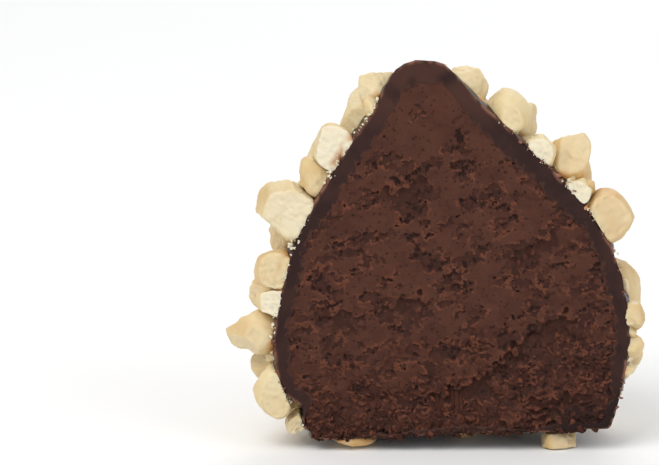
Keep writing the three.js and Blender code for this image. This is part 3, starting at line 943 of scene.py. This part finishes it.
def ganacheRelief():
    # depth of the cut filling on a fine raster of (across, height), and its colour layers: how far inside
    # the torn lower level and its deeper part each spot is, in millimetres, which also carry painted shade
    # and shadow, and how torn, partly a painted highlight, and crumbly
    look = ganacheLook
    xs = np.arange(-17.5, 17.5, look["rasterPitch"])
    zs = np.arange(0.4, 38.8, look["rasterPitch"])
    x, z = np.meshgrid(xs, zs)
    flat = np.stack([x, z], -1)
    warped = flat + shaken(flat, 0.13, 1.7, 31) + shaken(flat, 0.025, 0.5, 47)
    along, across = rotated(warped[..., 0], warped[..., 1], look["lean"])
    drawn = np.stack([along / look["drawnOut"], across], -1)
    crumbly, streaky = crumblyPart(x, z, flat, drawn)
    share = tornShare(x, z, flat, drawn, crumbly)
    near, deep, lipped, depth = tornLevel(xs, zs, flat, share, crumbly)
    # lumps are low where either of two waves is near zero: there lie the gaps between crumbs
    lumps = np.minimum(np.abs(waves(warped, 0.95, 51)) + 0.6 * np.abs(waves(warped, 0.48, 52)), 1.5)
    gaps = crumbly * 0.6 - 0.36
    # near and deep in the gaps between crumbs: painted shade there, as well as lower relief
    near = np.maximum(near, np.minimum(0.35 * (gaps + 0.55 - lumps), gaps + 0.1))
    deep = np.maximum(deep, np.minimum(0.35 * (gaps + 0.1 - lumps), gaps + 0.1))
    depth += look["deeperBy"] * smooth(-0.02, 0.08, deep)
    cornerX, cornerZ, wide, tall = look["darkCorner"]
    corner = 1 - np.hypot((x - cornerX) / wide, (z - cornerZ) / tall)
    deep = np.maximum(deep, 0.5 * corner + 0.12 * waves(flat, 0.9, 60))
    lips = addFolds(x, z, flat, warped, depth, near)
    depth += look["lowerBy"] * smooth(-0.03, 0.06, near)
    depth += crumbly * look["crumbDepth"] * (0.75 - lumps * 0.6)
    streaks = waves(np.stack([along / 7, across], -1), 0.5, 45)
    depth += look["streakDepth"] * np.maximum(streaks, 0) * streaky
    depth += 0.01 * waves(drawn, 1.4, 53) + 0.008 * waves(warped, 0.3, 54)
    ragged = smooth(-0.6, 0.8, waves(warped, 0.8, 55)) * smooth(-1.0, 0.6, waves(warped, 0.3, 56))
    # torn: light red. On the fold lips and the lips round the hollows it is the torn colour with a painted
    # highlight; on crumb tops it is a painted highlight
    torn = np.maximum(lips * (0.3 + 0.7 * ragged), crumbly * smooth(0.8, 1.3, lumps) * ragged * 0.85)
    torn = np.maximum(torn, 0.6 * streaky * smooth(-0.2, -1.0, streaks) * (0.4 + 0.6 * ragged))
    torn = np.maximum(torn, 0.65 * lipped)
    colourLayers = dict(inside=np.clip(near, -0.5, 0.5), deep=np.clip(deep, -0.5, 0.5), torn=torn,
                  crumbly=crumbly * 0.85)
    return xs, zs, depth, colourLayers


def cutGrid():
    # across from edge to edge at each height; the edges are tucked under the shell's band, and the
    # lowest rows follow the tilted underside raggedly
    look = ganacheLook
    turn = evenTurns(1600)
    edge, reach, plain = cutEdge(turn)
    tucked = np.maximum(bandWidth(turn, plain[:, 0], plain[:, 2]) - look["tuck"], 0.3)
    line = heart + edge * (reach - tucked)[:, None]
    lowest = baseZ + 0.1
    topAt = line[:, 2].argmax()
    onSide = plain[:, 2] > baseAt(plain[:, 0]) + 0.05
    left = onSide & (line[:, 0] < middleAt(line[:, 2], line[topAt, 0]))
    right = onSide & ~left
    z = np.linspace(lowest, line[topAt, 2], look["rows"])
    leftX = np.interp(z, *(line[left][np.argsort(line[left][:, 2])].T[[2, 0]]))
    rightX = np.interp(z, *(line[right][np.argsort(line[right][:, 2])].T[[2, 0]]))
    gridX = leftX[:, None] + (rightX - leftX)[:, None] * np.linspace(0, 1, look["columns"])
    gridZ = np.repeat(z[:, None], look["columns"], 1)
    alongBase = np.stack([gridX, 0 * gridX], -1)
    ragged = 0.16 * waves(alongBase, 1.3, 58) + 0.12 * waves(alongBase, 0.5, 59)
    tilt = baseAt(gridX) - baseZ
    return gridX, gridZ + (tilt + ragged) * smooth(lowest + 3.0, lowest, gridZ)


def ringsBehind(rimSpots):  # from the rim of the cut, along the inside of the shell to a pole
    away = rimSpots - heart
    rimTurn = np.arctan2(away[:, 2], away[:, 0])
    rimReach = np.hypot(away[:, 2], away[:, 0])
    wall = np.maximum(shellWall(rimTurn), 1.3)
    rings = []
    for lift in np.linspace(math.radians(5), math.radians(86), ganacheLook["backRows"]):
        heading = headings(rimTurn, lift)
        within = domeReach(heading) - wall
        inside = np.minimum(within, blend(rimReach, within, smooth(0, 0.3, lift)))
        rings.append(heart + heading * inside[:, None])
    return rings


def ganacheShape():
    # the cut's grid pushed back by the relief, and the rings behind it
    gridX, gridZ = cutGrid()
    xs, zs, depth, colourLayers = ganacheRelief()
    at = (gridX - partX, gridZ)
    gridY = cutY + ganacheLook["plateau"] + readRaster(xs, zs, depth, *at)
    rows, columns = gridX.shape
    start = rows * columns
    index = np.arange(start).reshape(rows, columns)
    # the rim of the grid, counter-clockwise seen from in front of the cut
    rim = np.concatenate([index[0, :-1], index[:-1, -1], index[-1, :0:-1], index[:0:-1, 0]])
    front = np.stack([gridX, gridY, gridZ], -1).reshape(-1, 3)
    rings = ringsBehind(front[rim])
    every = np.concatenate([front] + rings + [rings[-1].mean(0)[None]])
    count = len(rim)
    ringIndex = np.concatenate([rim[None], start + np.arange(count * len(rings)).reshape(-1, count)])
    following = np.roll(ringIndex, -1, 1)
    sides = np.stack([ringIndex[:-1], ringIndex[1:], following[1:], following[:-1]], -1).reshape(-1, 4)
    cap = np.stack([ringIndex[-1], np.full(count, len(every) - 1), following[-1]], -1)
    faces = [np.concatenate([gridFaces(rows, columns)[:, ::-1], sides]), cap]
    looks = {}
    for key, stain in colourLayers.items():
        unstained = -0.5 if key in ("inside", "deep") else 0.0
        back = np.full(len(every) - start, unstained)
        looks[key] = np.concatenate([readRaster(xs, zs, stain, *at).ravel(), back])
    return every, faces, looks


fillSpots, fillFaces, fillLooks = ganacheShape()
makePiece("ganacheFilling", fillSpots, fillFaces, fillLooks, [ganacheFinish], ["ganache_filling"])
print("filling made:", len(fillSpots), "vertices")


lumpLook = dict(chops=4, chopAt=(0.45, 0.85), crisp=9)


def joinLumps(centres, sizes, across, seed):
    # each lump: a sphere cut by a few random planes (reach = 1 / a power mean of 1 and of how fast each
    # plane is neared), then squeezed along its own three axes
    look = lumpLook
    directions, quads = cubeSphere(across)
    draw = np.random.default_rng(seed)
    count = len(centres)
    spots = np.repeat(directions[None], count, 0)
    planes = unit(draw.normal(size=(count, look["chops"], 3)))
    distance = draw.uniform(*look["chopAt"], (count, 1, look["chops"]))
    nearing = np.einsum("cvk,cpk->cvp", spots, planes) / distance
    total = (np.maximum(nearing, 0) ** look["crisp"]).sum(-1) + 1
    spots = spots * (total ** (-1 / look["crisp"]))[..., None]
    axes = np.linalg.qr(draw.normal(size=(count, 3, 3)))[0]
    spots = np.einsum("cvk,ckj->cvj", spots * sizes[:, None, :], axes) + centres[:, None, :]
    faces = quads[None] + (np.arange(count) * len(directions))[:, None, None]
    tone = np.repeat(draw.uniform(0, 1, count), len(directions))
    return spots.reshape(-1, 3), faces.reshape(-1, 4), tone


def mostlySmall(draw, low, high, power, count):  # sizes: the higher the power, the more near the low end
    return low + (high - low) * draw.uniform(0, 1, count) ** power


def stretched(draw, size, low, high):  # lumps' half lengths: size times a random share for each axis
    return size[:, None] * draw.uniform(low, high, (len(size), 3))


bitLook = dict(tries=420, size=(0.2, 0.75, 2.2), keepOff=0.2, apart=1.3, below=4.5, above=2.2)


def nutBits():  # the smallest pieces of nut, stuck to the coat wherever it is bare
    look = bitLook
    draw = np.random.default_rng(65)
    turn = draw.uniform(0, fullTurn, look["tries"])
    lift = np.arcsin(draw.uniform(0.02, 1, look["tries"]))
    heading = headings(turn, lift)
    spots = onDome(heading)
    size = mostlySmall(draw, *look["size"], look["tries"])
    fits = (nutDistance(spots) > size * 0.6 + look["keepOff"]) & (spots[:, 2] < peakZ - look["below"])
    fits &= (spots[:, 1] > cutY + size) & (spots[:, 2] > look["above"])
    fits &= (np.linalg.norm(spots[:, None] - smallSpots, axis=-1) - smallRadius).min(1) > size * 0.6
    chosen = leftApart(np.flatnonzero(fits), spots, size, look["apart"])
    spots, size, heading = spots[chosen], size[chosen], heading[chosen]
    sizes = stretched(draw, size, [1.0, 0.7, 0.5], [1.5, 1.0, 0.8])
    centres = spots + heading * (coatRelief(spots) + size * 0.25)[:, None]
    there, faces, tone = joinLumps(centres, sizes, 4, 62)
    looks = dict(roast=smooth(0.5, 1.0, tone) * 0.7, broken=smooth(0.6, 0.0, tone) * 0.7, stain=0 * tone)
    makePiece("nutBits", there, [faces], looks, [nutFinish])
    print("nut bits made:", len(chosen))


def edgeSpots(turn):  # places on the cut's outer edge, and the ways out from them
    edge, _, plain = cutEdge(turn)
    return plain + edge * coatRelief(plain)[:, None], edge


def nearTurns(draw, places, count, spread):  # turns scattered round places on the cut, in millimetres
    x, z = np.array(places).T
    chosen = draw.integers(0, len(places), count)
    return np.arctan2(z - heart[2], x)[chosen] + draw.normal(size=count) * spread


crumbLook = dict(
    everywhere=45, clustered=230, spread=0.04, size=(0.05, 0.22, 2.2),
    # where the knife crushed a nut against the shell's edge, across and height
    crushed=[(-14.6, 20.4), (-15.9, 17.6), (-16.6, 14.6), (-11.2, 28.2), (11.4, 26.6), (9.0, 29.8),
             (-8.0, 34.2), (13.8, 23.6), (-14.0, 22.4)],
)


def rimCrumbs():  # pale crumbs of nut on the shell's cut edge, thick where a nut was crushed
    look = crumbLook
    draw = np.random.default_rng(71)
    everywhere = draw.uniform(0, fullTurn, look["everywhere"])
    clustered = nearTurns(draw, look["crushed"], look["clustered"], look["spread"])
    spots, edge = edgeSpots(np.concatenate([everywhere, clustered]))
    count = len(spots)
    size = mostlySmall(draw, *look["size"], count)
    centres = spots + edge * draw.normal(0.15, 0.22, (count, 1))
    centres[:, 1] = cutY + draw.uniform(-0.02, 0.5, count) ** 2 * 2
    keep = centres[:, 2] > baseAt(centres[:, 0]) + 1
    sizes = stretched(draw, size, [1.0, 0.6, 0.5], [1.7, 1.0, 0.9])
    there, faces, tone = joinLumps(centres[keep], sizes[keep], 3, 72)
    looks = dict(roast=tone * 0.3, broken=1 - 0.5 * tone, stain=0 * tone)
    makePiece("rimCrumbs", there, [faces], looks, [nutFinish])


flakeLook = dict(
    count=120, spread=0.07, size=(0.12, 0.46, 2), thickness=0.035,
    # stretches of the edge where the coat broke off in thin flakes, across and height
    places=[(-9.6, 32.2), (-11.0, 29.6), (-12.6, 26.4), (-16.9, 9.2), (-16.0, 6.4), (-14.6, 3.6),
            (14.3, 22.6), (16.6, 17.8), (7.4, 31.2), (10.6, 27.6), (16.4, 6.0), (-17.0, 12.4)],
)


def coatFlakes():  # thin reddish flakes of the coat standing at the cut's edge
    look = flakeLook
    count = look["count"]
    draw = np.random.default_rng(75)
    spots, edge = edgeSpots(nearTurns(draw, look["places"], count, look["spread"]))
    long = mostlySmall(draw, *look["size"], count)
    centres = spots + edge * draw.normal(0.02, 0.07, (count, 1))
    centres[:, 1] = cutY + draw.uniform(0.0, 0.12, count)
    sizes = np.stack([long, long * draw.uniform(0.3, 0.6, count), np.full(count, look["thickness"])], -1)
    there, faces, tone = joinLumps(centres, sizes, 3, 76)
    looks = dict(rim=0.35 + 0.6 * tone, smear=tone, thick=0 * tone)
    makePiece("coatFlakes", there, [faces], looks, [cutFinish])


baseLook = dict(count=420, across=(-13.0, 14.6), size=(0.1, 0.48, 2.6))


def baseCrumbs():  # crumbs of ganache along the lower edge, where the knife tore it
    look = baseLook
    count = look["count"]
    draw = np.random.default_rng(81)
    x = partX + draw.uniform(*look["across"], count)
    size = mostlySmall(draw, *look["size"], count)
    y = cutY + draw.uniform(0.02, 0.8, count)
    centres = np.stack([x, y, baseAt(x) + draw.uniform(-0.2, 0.75, count)], -1)
    sizes = stretched(draw, size, [0.9, 0.7, 0.5], [1.5, 1.0, 0.9])
    there, faces, tone = joinLumps(centres, sizes, 3, 82)
    looks = dict(inside=0.3 - 0.6 * tone, deep=0.1 - 0.5 * tone, torn=smooth(0.75, 1.0, tone) * 0.6,
                 crumbly=0.8 + 0 * tone)
    makePiece("ganacheCrumbs", there, [faces], looks, [ganacheFinish])


nutBits()
rimCrumbs()
coatFlakes()
baseCrumbs()
print("bits, crumbs and flakes made")


# metres; it looks at this place across (from the part's middle) and height, in millimetres
viewLook = dict(elevation=math.radians(12), distance=0.300, sensor=36.0, across=0.06366,
                aimX=-11.64, aimZ=22.0)


def aimAt(thing, spot, target):  # tips it up by the angle of climb, then turns it towards the target
    offset = np.array(target) - np.array(spot)
    flat = math.hypot(offset[0], offset[1])
    thing.location = spot
    thing.rotation_euler = (math.pi / 2 + math.atan2(offset[2], flat), 0, math.atan2(-offset[0], offset[1]))


def makeCamera():
    look = viewLook
    camera = bpy.data.objects.new("camera", bpy.data.cameras.new("camera"))
    bpy.context.scene.collection.objects.link(camera)
    target = np.array([look["aimX"] + partX, cutY, look["aimZ"]]) * mm
    back = np.array([0, -math.cos(look["elevation"]), math.sin(look["elevation"])])
    aimAt(camera, target + back * look["distance"], target)
    camera.data.sensor_width = look["sensor"]
    camera.data.lens = look["sensor"] * look["distance"] / look["across"]
    camera.data.clip_start = 0.01
    bpy.context.scene.camera = camera


def makeFloor(half=2.5):
    mesh = bpy.data.meshes.new("floor")
    corners = [(-half, -half, 0), (half, -half, 0), (half, half, 0), (-half, half, 0)]
    mesh.from_pydata(corners, [], [(0, 1, 2, 3)])
    floor = bpy.data.objects.new("floor", mesh)
    bpy.context.scene.collection.objects.link(floor)
    material, tree, shader = newMaterial("paleFloor")
    plug(tree, shader, basecolor=mix(tree, noise(tree, 300), paint(246, 246, 246), paint(242, 242, 242)))
    shader.inputs["Roughness"].default_value = 0.9
    shader.inputs["Specular IOR Level"].default_value = 0.1
    mesh.materials.append(material)


lampLook = dict(
    key=dict(spot=(-0.28, -0.34, 0.50), size=0.42, power=2.3, tint=(1.0, 0.985, 0.96)),
    fill=dict(spot=(0.42, -0.30, 0.28), size=0.40, power=0.8, tint=(0.97, 0.985, 1.0)),
    back=dict(spot=(0.10, 0.45, 0.42), size=0.35, power=0.9, tint=(1.0, 1.0, 1.0)),
)
roomLook = dict(tint=(0.98, 0.99, 1.0, 1), strength=0.6)


def makeLamps():
    for name, look in lampLook.items():
        lamp = bpy.data.lights.new(name, "AREA")
        lamp.shape = "SQUARE"
        lamp.size = look["size"]
        lamp.energy = look["power"]
        lamp.color = look["tint"]
        holder = bpy.data.objects.new(name, lamp)
        bpy.context.scene.collection.objects.link(holder)
        aimAt(holder, look["spot"], (0, 0, 0.015))
    world = bpy.data.worlds.new("studio")
    bpy.context.scene.world = world
    world.use_nodes = True
    room = world.node_tree.nodes["Background"].inputs
    room["Color"].default_value = roomLook["tint"]
    room["Strength"].default_value = roomLook["strength"]


makeCamera()
makeFloor()
makeLamps()
bpy.context.scene.view_settings.view_transform = "Standard"
print("camera, floor and light made")
